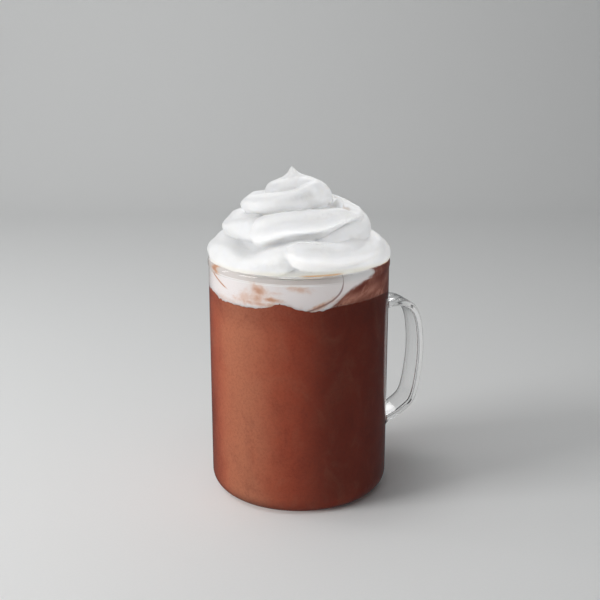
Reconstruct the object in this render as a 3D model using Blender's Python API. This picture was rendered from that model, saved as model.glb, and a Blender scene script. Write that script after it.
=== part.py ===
"""Caffe mocha in a straight glass mug with a flat strap handle, topped with whipped cream.

Lengths in the tables below are in millimetres, angles in degrees.
The origin is the centre of the flat base, +Z is up and the handle is along +X.
"""

import math

import bmesh
import bpy
import numpy as np

MM = 0.001

# Mug
MUG_RADIUS = 42.0
MUG_HEIGHT = 113.0
WALL = 2.6
BASE_THICKNESS = 2.6
OUTER_CORNER = 8.0
INNER_CORNER = 5.4
LIP_HEIGHT = 4.0        # height of the fire-polished bead round the mouth
LIP_SWELL = 0.3         # how far it stands out
LIP_EDGE = 0.8          # height over which it starts
MUG_SIDES = 72

# Handle: a flat strap bent into a D, as (distance from the axis, height) of its middle line
STRAP_WIDTH = 14.4
STRAP_THICKNESS = 3.4
STRAP_EDGE = 1.2
STRAP_FLARE = 1.22
STRAP_ROOT = 3.5        # length over which it flares into the glass
STRAP_PATH = (
    (40.6, 86.0), (47.0, 86.6), (52.8, 85.9), (57.6, 82.3), (60.4, 75.0), (61.6, 61.5),
    (60.4, 47.5), (57.6, 36.4), (51.6, 31.0), (45.8, 28.0), (40.6, 26.2),
)
STRAP_STATIONS = 30

# Drink and the melted cream on it
GAP = 0.3
MEETING_LEVEL = 98.5
CREAM_LAYER_TOP = 111.0
LIQUID_SIDES = 72
# Waves of the meeting line round the glass: (azimuth, height, half width)
MEETING_WAVES = (
    (-151.0, -1.0, 22.0), (-122.5, 2.2, 7.5), (-101.5, -1.3, 9.0), (-65.0, 0.6, 22.0),
    (-186.0, 1.2, 12.0), (-20.0, -1.0, 20.0), (12.0, 1.5, 12.0), (45.0, -1.3, 16.0),
    (82.0, 1.6, 14.0), (118.0, -1.1, 15.0), (150.0, 0.9, 12.0),
)

# Whipped cream: each squeeze of the nozzle is a ribbed rope laid round the axis
FRONT = -111.0          # azimuth at which the lowest coil starts, the zero of the angles below
RIBS = 5                # ribs round a rope
CREAM_SINK = 111.3      # underside of the cream, inside the mug
LIP_CLEARANCE = 0.35
FUSING_CELL = 0.8       # size of the cells in which the ropes are fused
KEPT_SHARE = 0.13       # share of the fused surface's triangles that are kept

# Knots of a rope: angle from FRONT, radius of its path, height over the lip, half breadth,
# half height, turn of its ribs, and rib height over the rope's radius
BASE_COIL = (
    (-9, 35.4, 9.6, 6.6, 5.6, 0, 0.08), (8, 34.2, 8.0, 8.0, 6.8, 0, 0.12),
    (28, 33.6, 6.4, 8.6, 6.9, 2, 0.13), (45, 33.2, 5.2, 9.0, 7.2, 14, 0.13),
    (66, 32.6, 3.4, 9.5, 8.2, 44, 0.11), (90, 32.4, 2.4, 9.8, 8.2, 70, 0.06),
    (135, 32.6, 2.4, 9.5, 8.2, 110, 0.09), (180, 32.2, 3.0, 9.7, 8.0, 160, 0.10),
    (225, 32.6, 2.6, 9.5, 8.0, 230, 0.06), (270, 32.6, 2.4, 9.8, 8.4, 300, 0.03),
    (300, 32.6, 3.2, 9.2, 8.6, 338, 0.04), (324, 32.6, 1.4, 9.2, 7.4, 330, 0.05),
    (338, 31.8, 4.0, 9.2, 8.6, 325, 0.10), (352, 30.2, 6.4, 9.0, 8.8, 325, 0.10),
    (363, 27.2, 8.6, 8.4, 7.8, 330, 0.08), (380, 25.4, 9.6, 8.0, 7.0, 356, 0.03),
)
MIDDLE_COIL = (
    (0, 25.0, 9.0, 8.0, 7.0, 20, 0.03), (35, 24.6, 10.5, 8.2, 7.0, 20, 0.03),
    (62, 24.4, 12.8, 8.8, 7.2, 30, 0.03), (90, 24.2, 14.2, 9.3, 7.2, 50, 0.04),
    (135, 24.4, 15.2, 9.3, 7.4, 110, 0.09), (180, 25.0, 15.4, 9.3, 7.4, 170, 0.09),
    (225, 25.8, 14.6, 9.2, 6.8, 230, 0.05), (268, 26.2, 13.8, 9.3, 6.0, 290, 0.02),
    (292, 26.0, 15.0, 8.6, 6.4, 320, 0.03), (312, 25.2, 15.6, 8.2, 7.0, 345, 0.04),
    (330, 24.2, 14.0, 8.0, 6.8, 360, 0.03), (350, 23.0, 12.0, 8.0, 6.0, 370, 0.03),
)
UPPER_COIL = (
    (-42, 29.4, 15.8, 6.4, 8.0, -10, 0.03), (-28, 28.6, 16.6, 8.2, 8.4, -8, 0.08),
    (-10, 27.6, 19.6, 8.8, 7.0, -4, 0.12), (14, 27.4, 20.8, 8.7, 6.3, -4, 0.13),
    (34, 27.0, 22.4, 8.0, 4.6, -2, 0.11), (54, 25.2, 22.4, 7.4, 3.4, 0, 0.06),
    (78, 22.2, 19.4, 8.4, 5.4, 40, 0.05), (110, 20.6, 18.2, 8.8, 6.6, 110, 0.08),
    (150, 19.6, 19.8, 8.6, 6.6, 160, 0.10), (200, 18.8, 22.4, 8.2, 6.0, 215, 0.08),
    (245, 18.4, 23.9, 8.0, 5.4, 270, 0.04), (272, 18.2, 24.2, 8.4, 4.4, 300, 0.01),
    (294, 18.4, 25.8, 8.6, 4.9, 320, 0.02), (330, 18.6, 27.6, 8.6, 5.0, 338, 0.03),
    (358, 17.6, 29.0, 8.6, 6.0, 344, 0.10), (378, 14.6, 30.0, 8.3, 7.0, 350, 0.08),
    (402, 11.2, 29.6, 8.4, 7.3, 370, 0.03), (430, 8.4, 28.2, 8.8, 7.4, 410, 0.02),
    (460, 7.2, 27.8, 8.4, 7.2, 440, 0.02),
)
CAP_COIL = (
    (40, 5.6, 30.6, 6.6, 5.2, 0, 0.01), (80, 6.2, 29.8, 7.6, 5.6, 20, 0.01),
    (130, 6.2, 30.4, 7.4, 5.6, 40, 0.04), (180, 6.2, 31.4, 7.6, 5.2, 90, 0.05),
    (230, 6.4, 31.0, 8.2, 5.2, 140, 0.02), (272, 6.6, 30.2, 9.0, 5.6, 190, 0.01),
    (310, 6.4, 31.6, 9.2, 5.2, 230, 0.01), (345, 5.0, 33.6, 8.4, 4.8, 265, 0.01),
    (385, 2.0, 35.0, 6.4, 4.0, 300, 0.01),
)
# Pointed tip: (distance to the front's left, height over the lip, radius)
TIP = (
    (0.2, 28.0, 15.0), (0.8, 32.0, 12.6), (1.3, 34.6, 9.8),
    (1.7, 36.4, 6.4), (2.2, 37.8, 3.9), (2.8, 39.6, 1.8), (3.3, 41.8, 0.3),
)
# Blobs of cream fused with the ropes: azimuth from FRONT, distance from the axis, height over
# the lip, half width and half height
BLOBS = (
    (56.0, 21.6, 26.2, 2.4, 3.8),   # small nub standing beside the top coil
    (51.0, 19.2, 25.6, 1.5, 1.5),   # what fills the hollow at its foot
    (28.0, 6.0, 32.0, 8.0, 5.6),    # hood under the tip
)
# Filling under the ropes: (radius, height over the lip)
CORE_STEPS = ((34.0, 7.0), (28.5, 16.0), (22.5, 23.5), (10.0, 31.0), (0.0, 34.0))
CORE_RADIUS = 35.0
UNDERSIDE_SPARE = 2.0   # depth that the fitting to the mug cuts off again
# Melted foot of the swirl: (distance from the glass, height over the underside)
FOOT_STEPS = ((0.2, -2.0), (0.0, 1.0), (0.6, 2.4), (9.1, 4.0))
FOOT_MIDDLE = 4.5
RIB_SHARE_INSIDE = 0.6  # how far a rope's ribs are sunk in its round section
END_FLAT = 0.15         # run-in that keeps a rope's very end from closing to a point
ROPE_STATIONS_PER_MM = 0.7
ROPE_SIDES = 36


def clear_scene():
    for obj in list(bpy.data.objects):
        bpy.data.objects.remove(obj)


def material(name, colour, roughness, transmission=0.0, ior=1.45):
    made = bpy.data.materials.new(name)
    made.use_nodes = True
    shader = made.node_tree.nodes["Principled BSDF"]
    shader.inputs["Base Color"].default_value = (*colour, 1.0)
    shader.inputs["Roughness"].default_value = roughness
    shader.inputs["Transmission Weight"].default_value = transmission
    shader.inputs["IOR"].default_value = ior
    made.diffuse_color = (*colour, 1.0)
    return made


def mesh_object(name, points, faces, made_of=None):
    mesh = bpy.data.meshes.new(name)
    mesh.from_pydata([tuple(MM * c for c in p) for p in points], [], faces)
    mesh.update()
    work = bmesh.new()
    work.from_mesh(mesh)
    bmesh.ops.recalc_face_normals(work, faces=work.faces)
    work.to_mesh(mesh)
    work.free()
    mesh.polygons.foreach_set("use_smooth", [True] * len(mesh.polygons))
    obj = bpy.data.objects.new(name, mesh)
    if made_of:
        mesh.materials.append(made_of)
    bpy.context.scene.collection.objects.link(obj)
    return obj


def arc(centre, radius, start, end, steps):
    """Points of an arc in the (radius, height) plane, both ends included."""
    found = []
    for i in range(steps + 1):
        a = math.radians(start + (end - start) * i / steps)
        found.append((centre[0] + radius * math.cos(a), centre[1] + radius * math.sin(a)))
    return found


def turned(columns):
    """Closed surface from one (radius, height) profile per side, each from axis to axis."""
    sides = len(columns)
    rows = len(columns[0]) - 2
    points = [(0.0, 0.0, columns[0][0][1])]
    for row in range(1, rows + 1):
        for side, column in enumerate(columns):
            a = math.tau * side / sides
            points.append((column[row][0] * math.cos(a), column[row][0] * math.sin(a), column[row][1]))
    points.append((0.0, 0.0, columns[0][-1][1]))
    last = len(points) - 1
    faces = []
    for side in range(sides):
        after = (side + 1) % sides
        faces.append((0, 1 + after, 1 + side))
        faces.append((last, 1 + (rows - 1) * sides + side, 1 + (rows - 1) * sides + after))
        for row in range(rows - 1):
            low = 1 + row * sides
            high = low + sides
            faces.append((low + side, low + after, high + after, high + side))
    return points, faces


def spline(knots, count):
    """Smooth curve through the knots (Catmull-Rom), at evenly spaced parameters."""
    knots = np.array(knots, float)
    padded = np.vstack([2 * knots[0] - knots[1], knots, 2 * knots[-1] - knots[-2]])
    found = []
    for t in np.linspace(0, len(knots) - 1, count):
        i = min(int(t), len(knots) - 2)
        u = t - i
        a, b, c, d = padded[i:i + 4]
        found.append(0.5 * (2 * b + (c - a) * u + (2 * a - 5 * b + 4 * c - d) * u * u
                            + (3 * b - a - 3 * c + d) * u ** 3))
    return np.array(found)


def tube(rings):
    """Closed surface through rings of points, with a fan at each end."""
    sides = len(rings[0])
    points = [tuple(p) for ring in rings for p in ring]
    faces = []
    for i in range(len(rings) - 1):
        for j in range(sides):
            k = (j + 1) % sides
            faces.append((i * sides + j, i * sides + k, (i + 1) * sides + k, (i + 1) * sides + j))
    for base in (0, (len(rings) - 1) * sides):
        points.append(tuple(np.mean(points[base:base + sides], axis=0)))
        for j in range(sides):
            faces.append((base + j, base + (j + 1) % sides, len(points) - 1))
    return points, faces


def strap_section(width, thickness, edge):
    """Rounded rectangle, as (across, outward) points."""
    found = []
    for sx, sy, start in ((1, 1, 0), (-1, 1, 90), (-1, -1, 180), (1, -1, 270)):
        centre = (sx * (width / 2 - edge), sy * (thickness / 2 - edge))
        found += arc(centre, edge, start, start + 90, 3)
    return found


def mug_shell(made_of):
    inside = MUG_RADIUS - WALL
    lip = MUG_HEIGHT - LIP_HEIGHT
    half = WALL / 2 + LIP_SWELL
    crown = (MUG_RADIUS - WALL / 2, MUG_HEIGHT - half)
    profile = [(0.0, 0.0), (MUG_RADIUS - OUTER_CORNER, 0.0)]
    profile += arc((MUG_RADIUS - OUTER_CORNER, OUTER_CORNER), OUTER_CORNER, -75, 0, 6)
    profile += [(MUG_RADIUS, lip), (MUG_RADIUS + LIP_SWELL, lip + LIP_EDGE)]
    profile += arc(crown, half, 0, 180, 6)
    profile += [(inside, lip)]
    profile += arc((inside - INNER_CORNER, BASE_THICKNESS + INNER_CORNER), INNER_CORNER, 0, -90, 5)
    profile += [(0.0, BASE_THICKNESS)]
    return mesh_object("glass_mug", *turned([profile] * MUG_SIDES), made_of)


def mug_handle():
    line = spline(STRAP_PATH, STRAP_STATIONS)
    along = np.gradient(line, axis=0)
    along /= np.linalg.norm(along, axis=1)[:, None]
    rings = []
    for (x, z), (tx, tz) in zip(line, along):
        near = max(0.0, 1.0 - (x - MUG_RADIUS) / STRAP_ROOT)
        grown = 1.0 + (STRAP_FLARE - 1.0) * min(1.0, near) ** 2
        section = strap_section(STRAP_WIDTH * grown, STRAP_THICKNESS * grown, STRAP_EDGE)
        rings.append([(x + n * tz, w, z - n * tx) for w, n in section])
    return mesh_object("strap", *tube(rings))


def meeting_height(azimuth):
    """Height of the line where drink and cream meet on the glass."""
    total = MEETING_LEVEL
    for centre, height, width in MEETING_WAVES:
        apart = (azimuth - centre + 180.0) % 360.0 - 180.0
        total += height * math.exp(-(apart / width) ** 2)
    return total


def meeting_surface(reach, lift):
    """Profiles of the meeting surface from the glass to the axis, one per side."""
    columns = []
    for side in range(LIQUID_SIDES):
        edge = meeting_height(360.0 * side / LIQUID_SIDES)
        column = []
        for share in (1.0, 0.88, 0.62, 0.3):
            level = MEETING_LEVEL + (edge - MEETING_LEVEL) * share ** 2 - 1.5 * (1.0 - share ** 2)
            column.append((reach * share, level + lift))
        column.append((0.0, MEETING_LEVEL - 1.5 + lift))
        columns.append(column)
    return columns


def drink(made_of):
    reach = MUG_RADIUS - WALL - GAP
    corner = INNER_CORNER - GAP
    floor = BASE_THICKNESS + GAP
    lower = [(0.0, floor)] + arc((reach - corner, floor + corner), corner, -90, 0, 5)
    columns = [lower + top for top in meeting_surface(reach, -GAP / 2)]
    return mesh_object("mocha", *turned(columns), made_of)


def cream_layer(made_of):
    reach = MUG_RADIUS - WALL - GAP - LIP_SWELL
    top = [(reach, CREAM_LAYER_TOP - 1.2), (reach - 1.2, CREAM_LAYER_TOP), (0.0, CREAM_LAYER_TOP)]
    wide = MUG_RADIUS - WALL - GAP
    columns = []
    for under in meeting_surface(wide, GAP / 2):
        side = [(wide, MUG_HEIGHT - LIP_HEIGHT - 1.0)]
        columns.append(under[::-1] + side + top)
    return mesh_object("cream_layer", *turned(columns), made_of)


def rope(knots):
    """Ribbed rope of cream along a rising path round the axis, rounded off at both ends."""
    rough = spline(knots, 400)
    angle = np.radians(rough[:, 0] + FRONT)
    line = np.stack([rough[:, 1] * np.cos(angle), rough[:, 1] * np.sin(angle), rough[:, 2]], 1)
    run = np.concatenate([[0.0], np.cumsum(np.linalg.norm(np.diff(line, axis=0), axis=1))])
    count = int(run[-1] * ROPE_STATIONS_PER_MM)
    even = np.linspace(0.0, run[-1], count)
    row = np.stack([np.interp(even, run, rough[:, k]) for k in range(7)], 1)
    turn = np.linspace(0.0, math.tau, ROPE_SIDES, endpoint=False)
    rings = []
    for s, (a, radius, height, half_r, half_z, twist, rib) in zip(even, row):
        end = min(s, run[-1] - s) + END_FLAT
        blunt = min(1.0, end / half_r)
        close = math.sqrt(1.0 - (1.0 - blunt) ** 2)
        swell = 1.0 + rib * (np.cos(RIBS * (turn - math.radians(twist))) - RIB_SHARE_INSIDE)
        out = radius + half_r * close * swell * np.cos(turn)
        up = height + half_z * close * swell * np.sin(turn)
        where = math.radians(a + FRONT)
        rings.append(np.stack([out * math.cos(where), out * math.sin(where), up + MUG_HEIGHT], 1))
    return tube(rings)


def tip():
    """Pointed end of the last squeeze, leaning to the left of the front."""
    rows = spline(TIP, 24)
    turn = np.linspace(0.0, math.tau, 24, endpoint=False)
    left = math.radians(FRONT - 90.0)
    rings = []
    for lean, height, radius in rows:
        x = lean * math.cos(left) + radius * np.cos(turn)
        y = lean * math.sin(left) + radius * np.sin(turn)
        rings.append(np.stack([x, y, np.full_like(x, height + MUG_HEIGHT)], 1))
    return tube(rings)


def blob(azimuth, radius, level, half_width, half_height):
    """Rounded lump of cream."""
    where = math.radians(FRONT + azimuth)
    turn = np.linspace(0.0, math.tau, 32, endpoint=False)
    rings = []
    for rise in np.radians(np.linspace(-80.0, 80.0, 17)):
        x = radius * math.cos(where) + half_width * math.cos(rise) * np.cos(turn)
        y = radius * math.sin(where) + half_width * math.cos(rise) * np.sin(turn)
        height = MUG_HEIGHT + level + half_height * math.sin(rise)
        rings.append(np.stack([x, y, np.full_like(x, height)], 1))
    return tube(rings)


def core():
    """Filling under the ropes, so that they fuse into one body."""
    low = CREAM_SINK - UNDERSIDE_SPARE
    profile = [(0.0, low), (CORE_RADIUS, low)]
    profile += [(r, MUG_HEIGHT + z) for r, z in CORE_STEPS]
    return turned([profile] * 48)


def foot():
    """Melted foot of the swirl, spread to the glass."""
    inside = MUG_RADIUS - WALL - LIP_SWELL - GAP
    profile = [(0.0, CREAM_SINK - UNDERSIDE_SPARE)]
    profile += [(inside - d, CREAM_SINK + z) for d, z in FOOT_STEPS]
    profile += [(0.0, CREAM_SINK + FOOT_MIDDLE)]
    return turned([profile] * MUG_SIDES)


def joined(surfaces):
    points = []
    faces = []
    for some, flat in surfaces:
        base = len(points)
        points += [tuple(p) for p in some]
        faces += [tuple(base + i for i in face) for face in flat]
    return points, faces


def room_above_mug():
    """Space open to the cream: inside the mug above the melted layer, and over the lip."""
    inside = MUG_RADIUS - WALL - LIP_SWELL - GAP
    half = WALL / 2 + LIP_SWELL
    crown = (MUG_RADIUS - WALL / 2, MUG_HEIGHT - half)
    over = arc(crown, half + LIP_CLEARANCE, 180, 50, 7)
    profile = [(0.0, CREAM_SINK), (inside, CREAM_SINK)] + over
    profile += [(60.0, over[-1][1]), (60.0, 180.0), (0.0, 180.0)]
    cutter = mesh_object("room", *turned([profile] * MUG_SIDES))
    cutter.hide_render = True
    cutter.display_type = "WIRE"
    return cutter


def whipped_cream(made_of):
    surfaces = [rope(k) for k in (BASE_COIL, MIDDLE_COIL, UPPER_COIL, CAP_COIL)]
    surfaces += [blob(*place) for place in BLOBS]
    surfaces += [tip(), core(), foot()]
    obj = mesh_object("whipped_cream", *joined(surfaces), made_of)
    fuse = obj.modifiers.new("fuse", "REMESH")
    fuse.mode = "VOXEL"
    fuse.voxel_size = FUSING_CELL * MM
    fuse.use_smooth_shade = True
    soften = obj.modifiers.new("soften", "SMOOTH")
    soften.factor = 0.5
    soften.iterations = 2
    fit = obj.modifiers.new("fit", "BOOLEAN")
    fit.operation = "INTERSECT"
    fit.object = room_above_mug()
    thin = obj.modifiers.new("thin", "DECIMATE")
    thin.ratio = KEPT_SHARE
    return obj


def main():
    clear_scene()
    glass = material("clear_glass", (0.95, 0.98, 0.97), 0.02, 1.0, 1.5)
    mocha = material("mocha_drink", (0.17, 0.045, 0.025), 0.35)
    melted = material("melted_cream", (0.72, 0.58, 0.52), 0.4)
    cream = material("whipped_cream_white", (0.9, 0.89, 0.86), 0.5)
    mug = mug_shell(glass)
    strap = mug_handle()
    strap.hide_render = True
    strap.display_type = "WIRE"
    fuse = mug.modifiers.new("strap", "BOOLEAN")
    fuse.operation = "UNION"
    fuse.object = strap
    drink(mocha)
    cream_layer(melted)
    whipped_cream(cream)


main()
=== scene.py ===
"""Caffe mocha with whipped cream in a glass mug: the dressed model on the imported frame.

Lengths are in millimetres and angles in degrees, unless a comment says otherwise.
Angles round the mug count from FRONT, the side that the camera sees, and grow to its right.
"""

import math

import bmesh
import bpy
import numpy as np
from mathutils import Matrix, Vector


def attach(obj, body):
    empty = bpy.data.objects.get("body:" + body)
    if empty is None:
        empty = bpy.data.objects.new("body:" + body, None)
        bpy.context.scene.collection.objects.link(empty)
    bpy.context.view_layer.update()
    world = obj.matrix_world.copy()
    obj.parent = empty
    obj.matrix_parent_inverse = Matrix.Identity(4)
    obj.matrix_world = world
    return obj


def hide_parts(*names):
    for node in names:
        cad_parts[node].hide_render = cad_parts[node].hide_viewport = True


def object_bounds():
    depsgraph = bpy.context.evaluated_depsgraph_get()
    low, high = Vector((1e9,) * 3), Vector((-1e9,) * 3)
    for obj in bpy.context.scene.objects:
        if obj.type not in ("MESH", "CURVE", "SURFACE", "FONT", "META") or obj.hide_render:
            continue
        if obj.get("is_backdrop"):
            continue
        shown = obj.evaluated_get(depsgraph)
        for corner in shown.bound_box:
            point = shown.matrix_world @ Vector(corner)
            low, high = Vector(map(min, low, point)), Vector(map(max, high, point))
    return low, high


MM = 0.001
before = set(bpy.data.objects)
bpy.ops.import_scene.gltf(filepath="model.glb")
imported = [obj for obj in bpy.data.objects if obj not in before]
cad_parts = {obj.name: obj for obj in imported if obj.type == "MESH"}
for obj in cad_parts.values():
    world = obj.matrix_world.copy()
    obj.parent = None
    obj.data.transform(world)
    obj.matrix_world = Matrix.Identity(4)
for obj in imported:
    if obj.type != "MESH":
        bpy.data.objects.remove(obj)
cad_low, cad_high = (list(corner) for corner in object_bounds())

# Mug and drink, as in the frame
MUG_RADIUS = 42.0
MUG_HEIGHT = 113.0
WALL = 2.6
BASE_THICKNESS = 2.6
OUTER_CORNER = 8.0
INNER_CORNER = 5.4
LIP_HEIGHT = 4.0        # height of the fire-polished bead round the mouth
LIP_SWELL = 0.3         # how far it stands out
LIP_EDGE = 0.8          # height over which it starts
STRAP_WIDTH = 14.4
STRAP_THICKNESS = 3.4
STRAP_EDGE = 1.2
STRAP_FLARE = 1.22
STRAP_ROOT = 3.5        # length over which it flares into the glass
STRAP_PATH = (
    (40.6, 86.0), (47.0, 86.6), (52.8, 85.9), (57.6, 82.3), (60.4, 75.0), (61.6, 61.5),
    (60.4, 47.5), (57.6, 36.4), (51.6, 31.0), (45.8, 28.0), (40.6, 26.2),
)
MEETING_LEVEL = 98.5    # height at which drink and cream meet on the glass
MEETING_DIP = 1.5       # how much lower they meet at the axis
# Waves of the meeting line round the glass: (azimuth, height, half width)
MEETING_WAVES = (
    (-151.0, -1.0, 22.0), (-122.5, 2.2, 7.5), (-101.5, -1.3, 9.0), (-65.0, 0.6, 22.0),
    (-186.0, 1.2, 12.0), (-20.0, -1.0, 20.0), (12.0, 1.5, 12.0), (45.0, -1.3, 16.0),
    (82.0, 1.6, 14.0), (118.0, -1.1, 15.0), (150.0, 0.9, 12.0),
)
# Small drips along it, listed in the same way, and ripples: (waves round, height)
DRIPS = (
    (-172.0, -0.8, 1.3), (-168.0, -0.9, 1.1), (-164.5, -0.5, 1.2),
    (-95.5, -0.3, 1.4), (-62.0, -0.3, 1.6),
)
RIPPLES = ((41, 0.10), (67, 0.07), (103, 0.06))
INTO_WALL = 0.15        # how far what fills the mug reaches into the glass
CREAM_LAYER_TOP = 111.15
LAYER_GAP = 0.02        # between the drink and the melted cream over it
LAYER_EDGE = 0.4        # depth of its rounded top edge
LAYER_BEVEL = 0.12
CREAM_SINK = 111.2      # underside of the whipped cream, inside the mug

# Whipped cream, as in the frame but for finer steps
FRONT = -111.0          # azimuth of the front
RIBS = 5                # ribs round a rope of cream
RIB_SHARE_INSIDE = 0.6  # how far a rope's ribs are sunk in its round section
END_FLAT = 0.1          # run-in that keeps a rope's very end from closing to a point
FUSING_CELL = 0.43      # size of the cells in which the ropes are fused
SOFTENING = 0.5         # how far each round of smoothing goes afterwards
SOFTENING_ROUNDS = 4
# Knots of a rope: angle from FRONT, radius of its path, height over the lip, half breadth,
# half height, turn of its ribs, and rib height over the rope's radius
BASE_COIL = (
    (-9, 35.4, 9.6, 6.6, 5.6, 0, 0.08), (8, 34.2, 8.0, 8.0, 6.8, 0, 0.12),
    (28, 33.6, 6.4, 8.6, 6.9, 2, 0.13), (45, 33.2, 5.2, 9.0, 7.2, 14, 0.13),
    (66, 32.6, 3.4, 9.5, 8.2, 44, 0.11), (90, 32.4, 2.4, 9.8, 8.2, 70, 0.06),
    (135, 32.6, 2.4, 9.5, 8.2, 110, 0.09), (180, 32.2, 3.0, 9.7, 8.0, 160, 0.10),
    (225, 32.6, 2.6, 9.5, 8.0, 230, 0.06), (270, 32.6, 2.4, 9.8, 8.4, 300, 0.03),
    (300, 32.6, 3.2, 9.2, 8.6, 338, 0.04), (324, 32.6, 1.4, 9.2, 7.4, 330, 0.05),
    (338, 31.8, 4.0, 9.2, 8.6, 325, 0.10), (352, 30.2, 6.4, 9.0, 8.8, 325, 0.10),
    (363, 27.2, 8.6, 8.4, 7.8, 330, 0.08), (380, 25.4, 9.6, 8.0, 7.0, 356, 0.03),
)
MIDDLE_COIL = (
    (0, 25.0, 9.0, 8.0, 7.0, 20, 0.03), (35, 24.6, 10.5, 8.2, 7.0, 20, 0.03),
    (62, 24.4, 12.8, 8.8, 7.2, 30, 0.03), (90, 24.2, 14.2, 9.3, 7.2, 50, 0.04),
    (135, 24.4, 15.2, 9.3, 7.4, 110, 0.09), (180, 25.0, 15.4, 9.3, 7.4, 170, 0.09),
    (225, 25.8, 14.6, 9.2, 6.8, 230, 0.05), (268, 26.2, 13.8, 9.3, 6.0, 290, 0.02),
    (292, 26.0, 15.0, 8.6, 6.4, 320, 0.03), (312, 25.2, 15.6, 8.2, 7.0, 345, 0.04),
    (330, 24.2, 14.0, 8.0, 6.8, 360, 0.03), (350, 23.0, 12.0, 8.0, 6.0, 370, 0.03),
)
UPPER_COIL = (
    (-42, 29.4, 15.8, 6.4, 8.0, -10, 0.03), (-28, 28.6, 16.6, 8.2, 8.4, -8, 0.08),
    (-10, 27.6, 19.6, 8.8, 7.0, -4, 0.12), (14, 27.4, 20.8, 8.7, 6.3, -4, 0.13),
    (34, 27.0, 22.4, 8.0, 4.6, -2, 0.11), (54, 25.2, 22.4, 7.4, 3.4, 0, 0.06),
    (78, 22.2, 19.4, 8.4, 5.4, 40, 0.05), (110, 20.6, 18.2, 8.8, 6.6, 110, 0.08),
    (150, 19.6, 19.8, 8.6, 6.6, 160, 0.10), (200, 18.8, 22.4, 8.2, 6.0, 215, 0.08),
    (245, 18.4, 23.9, 8.0, 5.4, 270, 0.04), (272, 18.2, 24.2, 8.4, 4.4, 300, 0.01),
    (294, 18.4, 25.8, 8.6, 4.9, 320, 0.02), (330, 18.6, 27.6, 8.6, 5.0, 338, 0.03),
    (358, 17.6, 29.0, 8.6, 6.0, 344, 0.10), (378, 14.6, 30.0, 8.3, 7.0, 350, 0.08),
    (402, 11.2, 29.6, 8.4, 7.3, 370, 0.03), (430, 8.4, 28.2, 8.8, 7.4, 410, 0.02),
    (460, 7.2, 27.8, 8.4, 7.2, 440, 0.02),
)
CAP_COIL = (
    (40, 5.6, 30.6, 6.6, 5.2, 0, 0.01), (80, 6.2, 29.8, 7.6, 5.6, 20, 0.01),
    (130, 6.2, 30.4, 7.4, 5.6, 40, 0.04), (180, 6.2, 31.4, 7.6, 5.2, 90, 0.05),
    (230, 6.4, 31.0, 8.2, 5.2, 140, 0.02), (272, 6.6, 30.2, 9.0, 5.6, 190, 0.01),
    (310, 6.4, 31.6, 9.2, 5.2, 230, 0.01), (345, 5.0, 33.6, 8.4, 4.8, 265, 0.01),
    (385, 2.0, 35.0, 6.4, 4.0, 300, 0.01),
)
# Pointed tip: (distance to the front's left, height over the lip, radius)
TIP = (
    (0.2, 28.0, 15.0), (0.8, 32.0, 12.6), (1.3, 34.6, 9.8),
    (1.7, 36.4, 6.4), (2.2, 37.8, 3.9), (2.8, 39.6, 1.8), (3.3, 41.8, 0.3),
)
# Lumps fused with the ropes: angle from FRONT, distance from the axis, height over the lip,
# half width and half height
BLOBS = (
    (56.0, 21.6, 25.6, 2.4, 3.6),   # small nub standing beside the top coil
    (51.0, 19.2, 25.6, 1.5, 1.5),   # what fills the hollow at its foot
    (28.0, 6.0, 32.0, 8.0, 5.6),    # hood under the tip
)
# Filling under the ropes: (radius, height over the lip)
CORE_STEPS = ((34.0, 7.0), (28.5, 16.0), (22.5, 23.5), (10.0, 31.0), (0.0, 34.0))
CORE_RADIUS = 35.0
UNDERSIDE_SPARE = 2.0   # depth that the fitting to the mug cuts off again
# Melted foot of the swirl: (distance from the glass, height over the underside)
FOOT_STEPS = ((0.0, -2.0), (0.0, 0.8), (0.6, 2.0), (2.6, 3.6))
FOOT_SLOPE = (31.0, 6.5)    # radius and height over the underside where it meets the ropes
FOOT_MIDDLE = 7.0
LIP_CLEARANCE = 0.02        # between the lip and the cream that lies over it
ROOM = (60.0, 180.0)        # radius and height of the space open to the cream
ROOM_LIP_END = 50           # angle up to which that space follows the round lip
# Unevenness of the surface: (name, size of a lump, height from pit to crest)
UNEVENNESS = (("sag", 7.0, 0.7), ("froth", 1.7, 0.25))
LUMP_LAYERS = 2         # finer layers of noise in it
# Hollows: (angle from FRONT, distance from the axis, height over the lip, breadth, depth)
DENTS = ((5.8, 23.0, 29.6, 4.6, 2.0), (-42.0, 36.5, 12.0, 2.2, 0.35), (44.0, 34.5, 13.5, 2.0, 0.3))
# The crease under the middle coil is shallow, so a row of dents with a depth under zero fills it
DENTS += tuple((angle, 31.6, 14.9 + 0.06 * angle, 2.4, -0.9) for angle in range(-4, 28, 6))
DENT_REACH = 6.0        # distance in or out from a dent's own radius up to which it is felt
# Places pushed down: (angle from FRONT, distance from the axis, breadth, depth), for surfaces
# that lie over the first of the two heights over the lip, and in full over the second
PRESSED = ((54.0, 26.6, 4.0, 1.9),)
PRESSED_OVER = (21.5, 24.5)
# Burst bubbles: how many, the angles and heights over the lip they spread over, breadth, depth
PITS = 34
PIT_ANGLES = (2.0, 50.0)
PIT_HEIGHTS = (19.5, 25.5)
PIT_BREADTH = (0.35, 0.75)
PIT_DEPTH = 0.26
PIT_SEED = 5

# Fineness of the meshes
SIDES = 224             # sides round the mug
LIQUID_SIDES = 448      # sides round the drink and the melted cream
CORE_SIDES = 96
FOOT_SIDES = 144
ROOM_SIDES = 160
# Rings along the profile of the mug, from the middle of its base up and over the lip
OUTER_BASE_RINGS = 10
OUTER_CORNER_RINGS = 22
WALL_RINGS = 28
LIP_RINGS = 8
LIP_SIDE_RINGS = 3
LIP_ROUND_RINGS = 20
LIP_RINGS_INSIDE = 5
CORNER_RINGS = 16
BASE_RINGS = 8
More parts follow.
